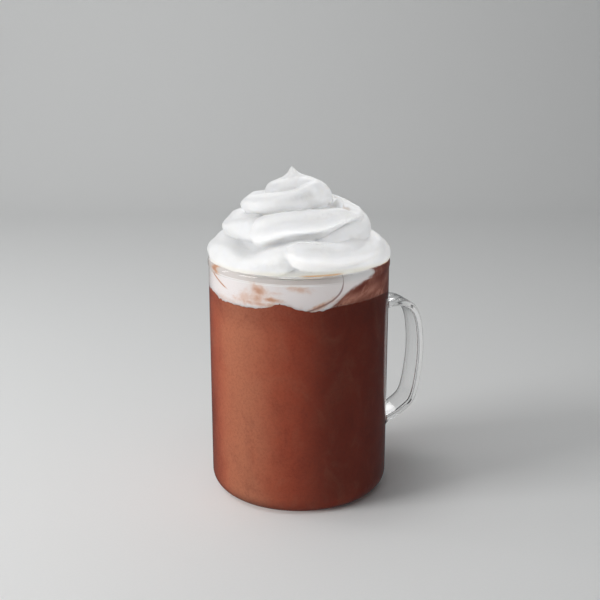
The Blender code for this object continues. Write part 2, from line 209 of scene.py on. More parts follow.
# Rings of what it holds and of the space open to the cream
DRINK_RINGS = 24
LAYER_RINGS = 14
LAYER_LIP_RINGS = 7
ROOM_LIP_RINGS = 14
LIQUID_RINGS = 14       # rings of the surface in which drink and cream meet
MIDDLE_SHARE = 0.05     # radius of the innermost of them, as a share of the outermost
STRAP_STATIONS = 110
STRAP_CORNER_STEPS = 7
ROPE_KNOTS = 500
ROPE_STATIONS_PER_MM = 1.3
ROPE_SIDES = 72
TIP_STATIONS = 60
TIP_SIDES = 48
BALL_RINGS = 17
BALL_SIDES = 32
BALL_END = 80.0         # latitude at which a lump is cut flat
SHARP_ANGLE = math.radians(35.0)

# Camera and the point that the lights are aimed at, in metres and degrees
CAMERA_AZIMUTH = -21.0
CAMERA_ELEVATION = 16.1
CAMERA_DISTANCE = 0.510
CAMERA_TARGET = (0.0, 0.0, 0.0912)
CAMERA_LENS = 65.0
CAMERA_SENSOR = 36.0
CAMERA_SHIFT = 1.1 / 600
LIGHT_TARGET = (0.0, 0.0, 0.085)

# Lights that reach everything: (name, azimuth, elevation, distance, size, power)
LAMPS = (
    ("key", -68.0, 28.0, 1.0, (0.35, 0.55), 4.7),
    ("edge", -104.0, 12.0, 0.8, (0.10, 0.5), 0.4),
    ("top", -90.0, 79.0, 1.1, (0.30, 0.30), 1.8),
)
# Lights that reach only some pieces: (name, the pieces, azimuth, elevation, size, power). Those
# on the cream stand for light that has scattered inside it
WHITE = ("melted_layer", "cream_swirl")
CREAM_ONLY = ("cream_swirl",)
GLOW_DISTANCE = 1.0
GLOW = (
    ("glow_right", WHITE, 76.0, 34.0, (0.45, 0.45), 5.3),
    ("glow_front", WHITE, -25.0, -30.0, (0.6, 0.3), 2.1),
    ("glow_under", CREAM_ONLY, 5.0, -42.0, (0.5, 0.4), 3.6),
    ("glow_back", WHITE, 180.0, 30.0, (0.7, 0.7), 3.0),
    ("glow_level", CREAM_ONLY, -5.0, -8.0, (0.6, 0.5), 1.2),
    ("wash", ("studio_floor",), -60.0, 65.0, (1.2, 1.2), 5.0),
    ("sparkle", ("mug_glass",), 180.0, 38.0, (0.9, 0.3), 2.8),
)
WORLD_COLOUR = (0.9, 0.95, 1.0)
WORLD_STRENGTH = 0.07

# Floor that curves up into a wall behind the object
FLOOR_HALF = 1500.0
FLOOR_BACK = 900.0
FLOOR_BEND = 260.0
FLOOR_WALL = 1400.0
FLOOR_STRIPS = 8
FLOOR_BEND_STEPS = 16


def link(obj):
    bpy.context.scene.collection.objects.link(obj)
    return obj


def mesh_object(name, points, faces, mats=()):
    """Smooth mesh object from points in millimetres, with its faces turned outwards."""
    mesh = bpy.data.meshes.new(name)
    mesh.from_pydata([tuple(MM * float(c) for c in p) for p in points], [], faces)
    mesh.update()
    work = bmesh.new()
    work.from_mesh(mesh)
    bmesh.ops.recalc_face_normals(work, faces=work.faces)
    work.to_mesh(mesh)
    work.free()
    mesh.polygons.foreach_set("use_smooth", [True] * len(mesh.polygons))
    for made in mats:
        mesh.materials.append(made)
    return link(bpy.data.objects.new(name, mesh))


def arc(centre, radius, start, end, steps):
    """Points of an arc in the (radius, height) plane, both ends included."""
    found = []
    for i in range(steps + 1):
        a = math.radians(start + (end - start) * i / steps)
        found.append((centre[0] + radius * math.cos(a), centre[1] + radius * math.sin(a)))
    return found


def line(start, end, steps):
    """Evenly spaced points between two points, without either end."""
    return [tuple(s + (e - s) * i / steps for s, e in zip(start, end)) for i in range(1, steps)]


def turned(columns):
    """Closed surface from one (radius, height) profile per side, each from axis to axis."""
    sides = len(columns)
    rows = len(columns[0]) - 2
    points = [(0.0, 0.0, columns[0][0][1])]
    for row in range(1, rows + 1):
        for side, column in enumerate(columns):
            a = math.tau * side / sides
            points.append((column[row][0] * math.cos(a), column[row][0] * math.sin(a), column[row][1]))
    points.append((0.0, 0.0, columns[0][-1][1]))
    last = len(points) - 1
    faces = []
    for side in range(sides):
        after = (side + 1) % sides
        faces.append((0, 1 + after, 1 + side))
        faces.append((last, 1 + (rows - 1) * sides + side, 1 + (rows - 1) * sides + after))
        for row in range(rows - 1):
            low = 1 + row * sides
            high = low + sides
            faces.append((low + side, low + after, high + after, high + side))
    return points, faces


def spline(knots, count):
    """Smooth curve through the knots (Catmull-Rom), at evenly spaced parameters."""
    knots = np.array(knots, float)
    padded = np.vstack([2 * knots[0] - knots[1], knots, 2 * knots[-1] - knots[-2]])
    found = []
    for t in np.linspace(0, len(knots) - 1, count):
        i = min(int(t), len(knots) - 2)
        u = t - i
        a, b, c, d = padded[i:i + 4]
        found.append(0.5 * (2 * b + (c - a) * u + (2 * a - 5 * b + 4 * c - d) * u * u
                            + (3 * b - a - 3 * c + d) * u ** 3))
    return np.array(found)


def tube(rings):
    """Closed surface through rings of points, with a fan at each end."""
    sides = len(rings[0])
    points = [tuple(p) for ring in rings for p in ring]
    faces = []
    for i in range(len(rings) - 1):
        for j in range(sides):
            k = (j + 1) % sides
            faces.append((i * sides + j, i * sides + k, (i + 1) * sides + k, (i + 1) * sides + j))
    for base in (0, (len(rings) - 1) * sides):
        points.append(tuple(np.mean(points[base:base + sides], axis=0)))
        for j in range(sides):
            faces.append((base + j, base + (j + 1) % sides, len(points) - 1))
    return points, faces


def joined(surfaces):
    """Several surfaces as the points and faces of one."""
    points = []
    faces = []
    for some, flat in surfaces:
        base = len(points)
        points += [tuple(p) for p in some]
        faces += [tuple(base + i for i in face) for face in flat]
    return points, faces


def modified(obj, name, kind, **settings):
    made = obj.modifiers.new(name, kind)
    for key, value in settings.items():
        setattr(made, key, value)


def baked(obj, name, made_of):
    """A plain mesh object of obj as its modifiers leave it; obj and its cutters go away."""
    graph = bpy.context.evaluated_depsgraph_get()
    mesh = bpy.data.meshes.new_from_object(obj.evaluated_get(graph))
    cutters = [m.object for m in obj.modifiers if m.type == "BOOLEAN"]
    for gone in [obj] + cutters:
        bpy.data.objects.remove(gone)
    mesh.name = name
    mesh.materials.clear()
    mesh.materials.append(made_of)
    mesh.polygons.foreach_set("material_index", [0] * len(mesh.polygons))
    mesh.polygons.foreach_set("use_smooth", [True] * len(mesh.polygons))
    return link(bpy.data.objects.new(name, mesh))


def positions(piece):
    """The piece's vertices in metres, one row each."""
    points = np.empty(len(piece.data.vertices) * 3, np.float32)
    piece.data.vertices.foreach_get("co", points)
    return points.reshape(-1, 3)


def move_vertices(piece, points):
    piece.data.vertices.foreach_set("co", points.reshape(-1))
    piece.data.update()


# ---------------------------------------------------------------- materials
# A noise is (scale per metre, detail, roughness, distortion). A ramp is (where it starts, where
# it ends, share at its start, share at its end), from 0 to 1 where it gives no shares. A bump is
# (strength, distance in metres).

class Nodes:
    """Short-hand for building a shader node tree."""

    def __init__(self, name):
        self.material = bpy.data.materials.new(name)
        self.material.use_nodes = True
        self.tree = self.material.node_tree
        self.shader = self.tree.nodes["Principled BSDF"]
        self.output = self.tree.nodes["Material Output"]

    def add(self, kind, **settings):
        made = self.tree.nodes.new(kind)
        for key, value in settings.items():
            setattr(made, key, value)
        return made

    def put(self, socket, value):
        if isinstance(value, bpy.types.NodeSocket):
            self.tree.links.new(value, socket)
        else:
            socket.default_value = value

    def maths(self, operation, a, b=0.0, c=0.0, clamp=False):
        made = self.add("ShaderNodeMath", operation=operation, use_clamp=clamp)
        for socket, value in zip(made.inputs, (a, b, c)):
            self.put(socket, value)
        return made.outputs[0]

    def product(self, first, *others):
        for value in others:
            first = self.maths("MULTIPLY", first, value)
        return first

    def length(self, first, *others):
        """Square root of the sum of the squares."""
        total = self.maths("POWER", first, 2.0)
        for value in others:
            total = self.maths("ADD", total, self.maths("POWER", value, 2.0))
        return self.maths("SQRT", total)

    def place(self):
        """Object coordinates in millimetres, as x, y, z sockets, and the whole vector in metres."""
        where = self.add("ShaderNodeTexCoord").outputs["Object"]
        parts = self.add("ShaderNodeSeparateXYZ")
        self.put(parts.inputs[0], where)
        return [self.maths("MULTIPLY", parts.outputs[k], 1.0 / MM) for k in range(3)] + [where]

    def round_mug(self, x, y):
        """Angle from FRONT, between -180 and 180."""
        toward, aside = self.tilted(x, y, FRONT)
        return self.maths("MULTIPLY", self.maths("ARCTAN2", aside, toward), math.degrees(1.0))

    def vector(self, x, y, z=0.0):
        made = self.add("ShaderNodeCombineXYZ")
        for socket, value in zip(made.inputs, (x, y, z)):
            self.put(socket, value)
        return made.outputs[0]

    def tilted(self, u, v, tilt):
        """u and v turned by tilt degrees: along and across."""
        c, s = math.cos(math.radians(tilt)), math.sin(math.radians(tilt))
        along = self.maths("ADD", self.maths("MULTIPLY", u, c), self.maths("MULTIPLY", v, s))
        across = self.maths("SUBTRACT", self.maths("MULTIPLY", v, c), self.maths("MULTIPLY", u, s))
        return along, across

    def noise(self, where, scale, detail=3.0, roughness=0.5, distortion=0.0):
        made = self.add("ShaderNodeTexNoise")
        self.put(made.inputs["Vector"], where)
        made.inputs["Scale"].default_value = scale
        made.inputs["Detail"].default_value = detail
        made.inputs["Roughness"].default_value = roughness
        made.inputs["Distortion"].default_value = distortion
        return made.outputs["Fac"]

    def ramp(self, value, start, end, at_start=0.0, at_end=1.0):
        """Smooth change of a share between two values."""
        made = self.add("ShaderNodeMapRange", interpolation_type="SMOOTHSTEP")
        for socket, v in zip(made.inputs[:5], (value, start, end, at_start, at_end)):
            self.put(socket, v)
        return made.outputs[0]

    def zone(self, value, *ramps):
        """Product of ramps of one value, such as where a patch starts and where it ends."""
        return self.product(*[self.ramp(value, *limits) for limits in ramps])

    def blend(self, share, a, b):
        """Colour that goes from a to b as the share goes from 0 to 1."""
        made = self.add("ShaderNodeMix", data_type="RGBA")
        self.put(made.inputs["Factor"], share)
        colours = [s for s in made.inputs if s.type == "RGBA"]
        for socket, value in zip(colours, (a, b)):
            self.put(socket, value if isinstance(value, bpy.types.NodeSocket) else (*value, 1.0))
        return [s for s in made.outputs if s.type == "RGBA"][0]

    def bump(self, height, strength, distance):
        made = self.add("ShaderNodeBump")
        made.inputs["Strength"].default_value = strength
        made.inputs["Distance"].default_value = distance
        self.put(made.inputs["Height"], height)
        self.put(self.shader.inputs["Normal"], made.outputs[0])

    def set(self, **values):
        for key, value in values.items():
            self.put(self.shader.inputs[key.replace("_", " ")], value)


def linear(r, g, b):
    """sRGB bytes to linear colour."""
    return tuple((c / 255 / 12.92) if c <= 10 else ((c / 255 + 0.055) / 1.055) ** 2.4 for c in (r, g, b))


GLASS = (0.99, 0.993, 0.992, 1.0)
GLASS_SHADOW = (0.96, 0.975, 0.97, 1.0)
GLASS_SMEAR = (60.0, 4.0, 0.6)
GLASS_ROUGHNESS = (0.35, 0.8, 0.0, 0.035)
GLASS_WAVES = (35.0, 2.0)
GLASS_BUMP = (0.06, 0.0006)


def glass_material():
    """Clear glass that lets light through to what it holds as a clear shadow."""
    n = Nodes("clear_glass")
    n.set(Base_Color=GLASS, Transmission_Weight=1.0, IOR=1.5)
    where = n.place()[3]
    smear = n.noise(where, *GLASS_SMEAR)
    n.put(n.shader.inputs["Roughness"], n.ramp(smear, *GLASS_ROUGHNESS))
    n.bump(n.noise(where, *GLASS_WAVES), *GLASS_BUMP)
    path = n.add("ShaderNodeLightPath")
    clear = n.add("ShaderNodeBsdfTransparent")
    clear.inputs["Color"].default_value = GLASS_SHADOW
    mix = n.add("ShaderNodeMixShader")
    n.put(mix.inputs[0], path.outputs["Is Shadow Ray"])
    n.put(mix.inputs[1], n.shader.outputs[0])
    n.put(mix.inputs[2], clear.outputs[0])
    n.put(n.output.inputs["Surface"], mix.outputs[0])
    return n.material


MOCHA = linear(184, 84, 56)
MOCHA_MILKY_AND_LIT = linear(194, 123, 92)
MOCHA_SHADED_SIDE = linear(170, 67, 41)
# dark tone of the unmixed grain and patches, and of the painted shade
MOCHA_MOTTLE_AND_SHADE = linear(120, 50, 36)
MOCHA_CLOUD = (38.0, 4.0, 0.55, 0.6)
MOCHA_GRAIN = (850.0, 3.0, 0.75)
MOCHA_PATCHES = (0.085, 5.0, 0.62, 0.8)     # per millimetre
PATCH_SQUEEZE = 0.6                         # of the height, which draws the patches upright
# Ramps of the angle: painted light (milkier) and painted shade (darker) towards the left side, painted
# shade (deeper) towards the right side, all of them fading out before the back
ZONE_WANDER = 24.0
LIT_SIDE_ZONE = ((0.0, -40.0), (-44.0, -72.0, 1.0, 0.25), (-110.0, -165.0, 1.0, 0.0))
SHADED_SIDE_ZONE = ((-6.0, 30.0), (80.0, 165.0, 1.0, 0.0))
SHADED_HALF_ZONE = ((-54.0, -76.0), (-165.0, -125.0))
SHADE_BY_HEIGHT = (90.0, 15.0, 0.22, 0.5)
SHADE_UNDER_CREAM = (84.0, 97.0, 0.0, 0.34)
GRAIN_DARK = (0.42, 0.66, 0.0, 0.20)
PATCH_MILKY = (0.45, 0.75, 0.0, 0.30)
PATCH_DARK = (0.50, 0.25, 0.0, 0.25)
MOCHA_ROUGHNESS = (0.2, 0.8, 0.30, 0.42)
MOCHA_BUMP = (0.05, 0.001)


def mocha_material():
    """Painted light makes the lit left of the front milkier and painted shade makes its right deeper; the
    patches are there because the drink is never quite stirred.
    """
    n = Nodes("mocha_drink")
    x, y, z, where = n.place()
    angle = n.round_mug(x, y)
    cloud = n.noise(where, *MOCHA_CLOUD)
    angle = n.maths("ADD", angle, n.maths("MULTIPLY_ADD", cloud, ZONE_WANDER, -ZONE_WANDER / 2))
    # painted light: milkier where the left side is lit; painted shade: deeper on the shaded right
    colour = n.blend(n.zone(angle, *LIT_SIDE_ZONE), MOCHA, MOCHA_MILKY_AND_LIT)
    colour = n.blend(n.zone(angle, *SHADED_SIDE_ZONE), colour, MOCHA_SHADED_SIDE)
    # fine grain and soft patches of cocoa and milk that are not quite mixed
    grain = n.noise(where, *MOCHA_GRAIN)
    patch = n.noise(n.vector(x, y, n.maths("MULTIPLY", z, PATCH_SQUEEZE)), *MOCHA_PATCHES)
    colour = n.blend(n.ramp(patch, *PATCH_MILKY), colour, MOCHA_MILKY_AND_LIT)
    blotches = n.maths("ADD", n.ramp(grain, *GRAIN_DARK), n.ramp(patch, *PATCH_DARK))
    # painted shade: darker right under the cream, along the left and towards its foot
    dark = n.product(n.zone(angle, *SHADED_HALF_ZONE), n.ramp(z, *SHADE_BY_HEIGHT))
    dark = n.maths("MAXIMUM", n.ramp(z, *SHADE_UNDER_CREAM), dark)
    # painted shade together with the darker unmixed grain and patches
    colour = n.blend(n.maths("ADD", dark, blotches, clamp=True), colour, MOCHA_MOTTLE_AND_SHADE)
    n.set(Base_Color=colour, IOR=1.35, Subsurface_Weight=0.08, Subsurface_Scale=0.002)
    n.shader.inputs["Subsurface Radius"].default_value = (1.0, 0.45, 0.3)
    n.put(n.shader.inputs["Roughness"], n.ramp(cloud, *MOCHA_ROUGHNESS))
    n.bump(cloud, *MOCHA_BUMP)
    return n.material


MILK = linear(240, 235, 235)
PAINTED_HIGHLIGHT_LINE = (1.0, 1.0, 1.0)
TAN = linear(212, 166, 134)
ROSE = linear(190, 134, 106)
BAND_BROWN = linear(150, 96, 81)
BAND_PALE = linear(212, 158, 138)
DARK_BROWN = linear(112, 52, 40)
HAIR = linear(150, 118, 116)
BEAD_FILM_AND_SHADE = linear(214, 206, 203)
BEAD_FILM_AND_SHADE_RIGHT = linear(236, 233, 233)
WALL_MM_PER_DEGREE = math.radians(1.0) * (MUG_RADIUS - WALL)
MELTED_WANDER = (260.0, 6.0, 0.72, 0.3)
MELTED_CLOUD = (90.0, 4.0, 0.6, 0.5)
MELTED_GRAIN = (500.0, 2.0)
MELTED_ROUGHNESS = (0.2, 0.8, 0.30, 0.45)
MELTED_BUMP = (0.08, 0.0004)
# Coffee stains in the melted cream: (angle from FRONT, height, half breadth, half height, tilt,
# strength, ragged share)
STAINS = (
    (-68.0, 110.7, 5.0, 1.3, -14.0, 1.0, 0.3),
    (-25.5, 105.4, 4.4, 3.4, -35.0, 0.8, 0.45),
    (-26.5, 102.6, 5.0, 3.4, 20.0, 0.75, 0.5),
    (-36.0, 101.4, 4.0, 3.2, 40.0, 0.5, 0.8),
    (-18.0, 102.3, 5.4, 1.1, -5.0, 0.85, 0.4),
    (-24.0, 99.9, 14.0, 1.3, -3.0, 0.7, 0.6),
    (-52.0, 99.0, 9.0, 1.2, -6.0, 0.35, 0.9),
    (0.0, 107.5, 4.8, 1.7, -8.0, 0.6, 0.7),
    (-14.0, 105.4, 3.4, 0.9, 0.0, 0.35, 0.7),
    (12.0, 99.2, 8.0, 1.3, 24.0, 0.9, 0.5),
    (150.0, 104.0, 9.0, 2.6, 30.0, 0.6, 0.9),
    (-120.0, 102.0, 8.0, 2.2, -25.0, 0.6, 0.9),
    (-155.0, 106.5, 7.0, 1.6, 15.0, 0.5, 0.9),
)
BLOT_RAGGED = 5.0
BLOT_EDGE = 1.5
CLOUD_STAIN = (0.50, 0.78, 0.0, 0.12)
STAIN_CORE = (0.55, 1.0, 0.0, 0.6)
# Thin streak below the rim, at the left, which falls to the right
STREAK_TOP = 108.9
STREAK_ANGLE = -70.6
STREAK_SLOPE = 3.58             # degrees per millimetre that it falls
STREAK_BREADTH = (0.7, 2.2, 1.0, 0.0)
STREAK_ENDS = ((-0.8, 0.0), (4.2, 5.6, 1.0, 0.0))
# Dark hair line that curls from the rim down to the left and broadens as it goes
HAIR_TOP = 110.5
HAIR_ANGLE = 28.5
HAIR_CURL = 0.0174              # degrees that it has turned when it is 1 mm down
HAIR_POWER = 2.8
HAIR_BREADTH = 0.22
HAIR_BROADENING = 0.13
HAIR_EDGE = (0.3, 1.3, 0.8, 0.0)
# Broad band of coffee right of a diagonal that rises from BAND_ANGLE at BAND_FOOT
BAND_FOOT = 99.7
BAND_ANGLE = 22.9
BANK_SLOPE = 0.9
BANK_BEND = 0.2
BAND_TILT = 40.0
DRAWN_ALONG = 0.13
DRAWN_ACROSS = 0.34
DRAWN_OUT = (1.0, 3.0, 0.55, 1.1)
DRAWN_DARK = (0.50, 0.68, 0.0, 0.55)
DRAWN_PALE = (0.34, 0.46, 0.4, 0.0)
BAND_DRAWN = 14.0
BAND_FRAYED = 6.0
BAND_EDGE = (-5.0, 3.0)
BAND_END = (104.0, 150.0, 1.0, 0.0)
# Darker and paler patches of the band, listed as the stains are
BAND_DARK = (
    (68.0, 108.6, 11.0, 4.2, 14.0, 1.0, 0.25),
    (42.0, 105.8, 7.0, 1.9, 24.0, 0.95, 0.35),
    (76.0, 101.0, 7.0, 3.2, 30.0, 0.8, 0.5),
    (50.0, 100.9, 7.0, 1.1, 14.0, 0.5, 0.6),
)
BAND_LIGHT = (
    (54.0, 103.6, 6.0, 1.9, 22.0, 0.55, 0.7),
    (33.0, 101.6, 5.5, 1.8, 26.0, 0.7, 0.7),
    (88.0, 106.0, 5.0, 1.5, 20.0, 0.4, 0.8),
)
# Grains of cocoa at the lower edge: (angle from FRONT, height)
SPECKS = ((-9.2, 100.0), (24.5, 98.9), (-12.0, 100.6), (27.0, 99.6))
SPECK_EDGE = (0.15, 0.45, 1.0, 0.0)
# Behind the bead of the lip the film is greyer, partly a film of coffee and partly painted shade of the bead,
# over a thin white line that is a painted highlight
BEAD_LEVEL = MUG_HEIGHT - LIP_HEIGHT + 0.3
BEAD_RAMP = (BEAD_LEVEL, BEAD_LEVEL + 0.5)
HIGHLIGHT_HEIGHTS = ((BEAD_LEVEL - 0.7, BEAD_LEVEL - 0.4), (BEAD_LEVEL, BEAD_LEVEL + 0.25, 1.0, 0.0))
HIGHLIGHT_SPAN = ((6.0, 22.0, 1.0, 0.0), (-165.0, -125.0))
FILM_RIGHT_SPAN = ((16.0, 36.0), (125.0, 165.0, 1.0, 0.0))


def blots(n, u, z, wander, table):
    """Largest share of the blots of a table at each point of the wall."""
    share = 0.0
    for centre, level, breadth, height, tilt, strength, ragged in table:
        along, across = n.tilted(n.maths("SUBTRACT", u, centre * WALL_MM_PER_DEGREE),
                                 n.maths("SUBTRACT", z, level), tilt)
        reach = n.length(n.maths("DIVIDE", along, breadth), n.maths("DIVIDE", across, height))
        reach = n.maths("ADD", reach, n.maths("MULTIPLY", wander, BLOT_RAGGED * ragged))
        share = n.maths("MAXIMUM", share, n.ramp(reach, 0.0, BLOT_EDGE, strength, 0.0))
    return share


def streak(n, angle, z):
    fall = n.maths("SUBTRACT", STREAK_TOP, z)
    middle = n.maths("MULTIPLY_ADD", fall, STREAK_SLOPE, STREAK_ANGLE)
    apart = n.maths("ABSOLUTE", n.maths("SUBTRACT", angle, middle))
    return n.product(n.ramp(apart, *STREAK_BREADTH), n.zone(fall, *STREAK_ENDS))


def hair_line(n, angle, z):
    drop = n.maths("MAXIMUM", n.maths("SUBTRACT", HAIR_TOP, z), 0.0)
    curl = n.product(n.maths("POWER", drop, HAIR_POWER), HAIR_CURL)
    apart = n.maths("ABSOLUTE", n.maths("SUBTRACT", angle, n.maths("SUBTRACT", HAIR_ANGLE, curl)))
    breadth = n.maths("MULTIPLY_ADD", drop, HAIR_BROADENING, HAIR_BREADTH)
    return n.ramp(n.maths("DIVIDE", apart, breadth), *HAIR_EDGE)


def coffee_band(n, angle, u, z, wander):
    """Share and colour of the broad band."""
    rise = n.maths("SUBTRACT", z, BAND_FOOT)
    bank = n.maths("ADD", n.product(rise, BANK_SLOPE), n.product(n.maths("POWER", rise, 2.0), BANK_BEND))
    past = n.maths("SUBTRACT", n.maths("SUBTRACT", angle, BAND_ANGLE), bank)
    along, across = n.tilted(u, z, BAND_TILT)
    drawn = n.noise(n.vector(n.product(along, DRAWN_ALONG), n.product(across, DRAWN_ACROSS)), *DRAWN_OUT)
    past = n.maths("ADD", past, n.product(n.maths("SUBTRACT", drawn, 0.5), BAND_DRAWN))
    past = n.maths("ADD", past, n.product(wander, BAND_FRAYED))
    share = n.product(n.ramp(past, *BAND_EDGE), n.ramp(angle, *BAND_END))
    dark = n.maths("MAXIMUM", blots(n, u, z, wander, BAND_DARK), n.ramp(drawn, *DRAWN_DARK))
    pale = n.maths("MAXIMUM", blots(n, u, z, wander, BAND_LIGHT), n.ramp(drawn, *DRAWN_PALE))
    return share, n.blend(dark, n.blend(pale, BAND_BROWN, BAND_PALE), DARK_BROWN)


def melted_material():
    """Milk-white cream with coffee drawn into it where it touches the glass, with painted shade behind the
    lip's bead and a painted highlight line under it.
    """
    n = Nodes("melted_cream")
    x, y, z, where = n.place()
    angle = n.round_mug(x, y)
    u = n.maths("MULTIPLY", angle, WALL_MM_PER_DEGREE)
    wander = n.maths("SUBTRACT", n.noise(where, *MELTED_WANDER), 0.5)
    cloud = n.noise(where, *MELTED_CLOUD)
    # greyer behind the bead: partly a film of coffee, partly painted shade of the bead
    bead_film_and_shade = n.blend(n.zone(angle, *FILM_RIGHT_SPAN), BEAD_FILM_AND_SHADE, BEAD_FILM_AND_SHADE_RIGHT)
    colour = n.blend(n.ramp(z, *BEAD_RAMP), MILK, bead_film_and_shade)
    # painted highlight: a thin white line just under the bead
    under = n.product(n.zone(z, *HIGHLIGHT_HEIGHTS), *[n.ramp(angle, *limits) for limits in HIGHLIGHT_SPAN])
    colour = n.blend(under, colour, PAINTED_HIGHLIGHT_LINE)
    stain = n.maths("MAXIMUM", n.ramp(cloud, *CLOUD_STAIN), blots(n, u, z, wander, STAINS))
    stain = n.maths("MAXIMUM", stain, streak(n, angle, z))
    colour = n.blend(n.maths("MULTIPLY", stain, 1.0, clamp=True), colour, TAN)
    colour = n.blend(n.ramp(stain, *STAIN_CORE), colour, ROSE)
    colour = n.blend(hair_line(n, angle, z), colour, HAIR)
    band, band_colour = coffee_band(n, angle, u, z, wander)
    colour = n.blend(band, colour, band_colour)
    for centre, level in SPECKS:
        off_u = n.maths("MULTIPLY", n.maths("SUBTRACT", angle, centre), WALL_MM_PER_DEGREE)
        apart = n.length(off_u, n.maths("SUBTRACT", z, level))
        colour = n.blend(n.ramp(apart, *SPECK_EDGE), colour, DARK_BROWN)
    n.set(Base_Color=colour, IOR=1.35, Subsurface_Weight=1.0, Subsurface_Scale=0.0035)
    n.shader.inputs["Subsurface Radius"].default_value = (1.0, 0.97, 0.94)
    n.put(n.shader.inputs["Roughness"], n.ramp(cloud, *MELTED_ROUGHNESS))
    n.bump(n.noise(where, *MELTED_GRAIN), *MELTED_BUMP)
    return n.material


CREAM = linear(243, 243, 244)
CREAM_DULL = linear(242, 242, 241)
CREAM_WARM = linear(240, 237, 228)
COFFEE_CREAM = linear(214, 168, 122)
HOLLOW_SHADE_BROWN = linear(212, 198, 182)
CREAM_BUBBLES = (900.0, 2.0, 0.6)
CREAM_MOTTLE = (140.0, 3.0, 0.5)
MOTTLE_RAMP = (0.3, 0.8)
CREAM_ROUGHNESS = (0.25, 0.75, 0.36, 0.52)
BUBBLE_SHARE = 0.35             # of the bubbles in the bump; the mottle has the rest
CREAM_BUMP = (0.16, 0.0006)
# The melted foot is warmer: ramps of the height and of the distance from the axis
WARM_HEIGHT = (113.2, 115.5, 1.0, 0.0)
WARM_REACH = (34.0, 37.5)
# Coffee against the glass: ramps of the angle for two places, of the distance and of the height
COFFEE_FRONT = ((-2.0, 6.0), (24.0, 32.0, 1.0, 0.0))
COFFEE_SIDE = ((56.0, 66.0), (84.0, 100.0, 1.0, 0.0))
COFFEE_REACH = (37.9, 38.7)
COFFEE_HEIGHT = (112.9, 113.5, 0.9, 0.0)
# Brownish painted shade in the hollow beside the nub: angle from FRONT, distance, height over the lip
HOLLOW = (58.5, 25.0, 25.0)
HOLLOW_EDGE = (0.8, 2.6, 0.6, 0.0)


def cream_material():
    n = Nodes("whipped_cream")
    x, y, z, where = n.place()
    bubbles = n.noise(where, *CREAM_BUBBLES)
    soft = n.noise(where, *CREAM_MOTTLE)
    angle = n.round_mug(x, y)
    away = n.length(x, y)
    colour = n.blend(n.ramp(soft, *MOTTLE_RAMP), CREAM, CREAM_DULL)
    low = n.product(n.ramp(z, *WARM_HEIGHT), n.ramp(away, *WARM_REACH))
    colour = n.blend(low, colour, CREAM_WARM)
    places = n.maths("MAXIMUM", n.zone(angle, *COFFEE_FRONT), n.zone(angle, *COFFEE_SIDE))
    stained = n.product(places, n.ramp(away, *COFFEE_REACH), n.ramp(z, *COFFEE_HEIGHT))
    colour = n.blend(stained, colour, COFFEE_CREAM)
    # brownish painted shade in the hollow beside the nub
    turn = math.radians(FRONT + HOLLOW[0])
    centre = (HOLLOW[1] * math.cos(turn), HOLLOW[1] * math.sin(turn), MUG_HEIGHT + HOLLOW[2])
    apart = n.length(*[n.maths("SUBTRACT", value, middle) for value, middle in zip((x, y, z), centre)])
    colour = n.blend(n.ramp(apart, *HOLLOW_EDGE), colour, HOLLOW_SHADE_BROWN)
    n.set(Base_Color=colour, IOR=1.4, Subsurface_Weight=1.0, Subsurface_Scale=0.0045)
    n.shader.inputs["Subsurface Radius"].default_value = (1.0, 0.97, 0.93)
    n.shader.inputs["Specular IOR Level"].default_value = 0.45
    n.put(n.shader.inputs["Roughness"], n.ramp(bubbles, *CREAM_ROUGHNESS))
    n.bump(n.maths("ADD", n.product(bubbles, BUBBLE_SHARE), n.product(soft, 1.0 - BUBBLE_SHARE)), *CREAM_BUMP)
    return n.material


FLOOR_GRAIN = (900.0, 3.0, 0.6)
FLOOR_TONES = ((0.78, 0.785, 0.78), (0.82, 0.825, 0.82))
FLOOR_BUMP = (0.05, 0.0003)


def floor_material():
    n = Nodes("floor_paper")
    grain = n.noise(n.place()[3], *FLOOR_GRAIN)
    n.set(Base_Color=n.blend(grain, *FLOOR_TONES), Roughness=0.8)
    n.bump(grain, *FLOOR_BUMP)
    return n.material


# ---------------------------------------------------------------- glass

INSIDE = MUG_RADIUS - WALL
LIP_FOOT = MUG_HEIGHT - LIP_HEIGHT
LIP_ROUND = WALL / 2 + LIP_SWELL        # radius of the round top of the lip
CROWN = (MUG_RADIUS - WALL / 2, MUG_HEIGHT - LIP_ROUND)     # and its centre
OUTER_CORNER_START = -88.0              # where the base leaves the floor


def swelled(share):
    """How far the lip stands out once its swell has grown by a share from 0 to 1."""
    return LIP_SWELL * share * share * (3 - 2 * share)


def lip_inside(z):
    """Radius of the mug's inner wall near the lip."""
    return INSIDE - swelled(min(1.0, max(0.0, (z - LIP_FOOT) / (CROWN[1] - LIP_FOOT))))


